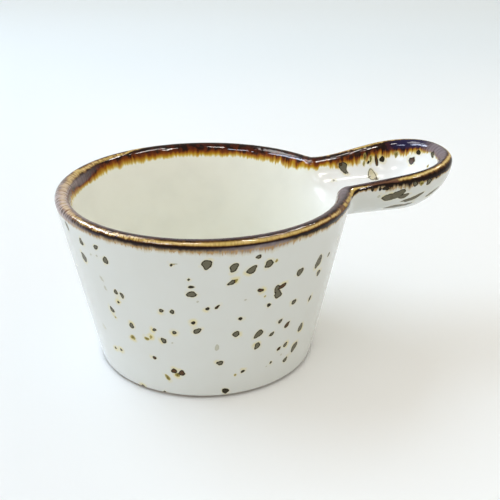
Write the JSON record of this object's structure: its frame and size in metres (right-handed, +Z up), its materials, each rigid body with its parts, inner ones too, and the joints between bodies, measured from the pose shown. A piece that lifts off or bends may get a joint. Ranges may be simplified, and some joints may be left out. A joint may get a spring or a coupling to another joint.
{
  "type": "handled sauce dish",
  "caption": "Small tapered stoneware sauce dish with one open spoon-shaped trough handle, speckled white glaze and a brown glazed rim.",
  "frame": {"origin": "on the table under the middle of the dish's whole length, handle included", "axes": "+X from the bowl towards the handle's tip, +Z up from the table"},
  "size_m": [0.1149, 0.082, 0.0556],
  "materials": {
    "bare_clay": "unglazed fired stoneware",
    "speckled_glaze": "glossy white with iron speckles",
    "liner_glaze": "glossy warm white",
    "brown_glaze": "glossy dark brown breaking to amber"
  },
  "bodies": {
    "root": {"bowl": "bare_clay", "handle": "bare_clay", "outside_glaze": "speckled_glaze", "inside_glaze": "liner_glaze", "rim_glaze": "brown_glaze", "base_glaze": "speckled_glaze"}
  },
  "joints": []
}
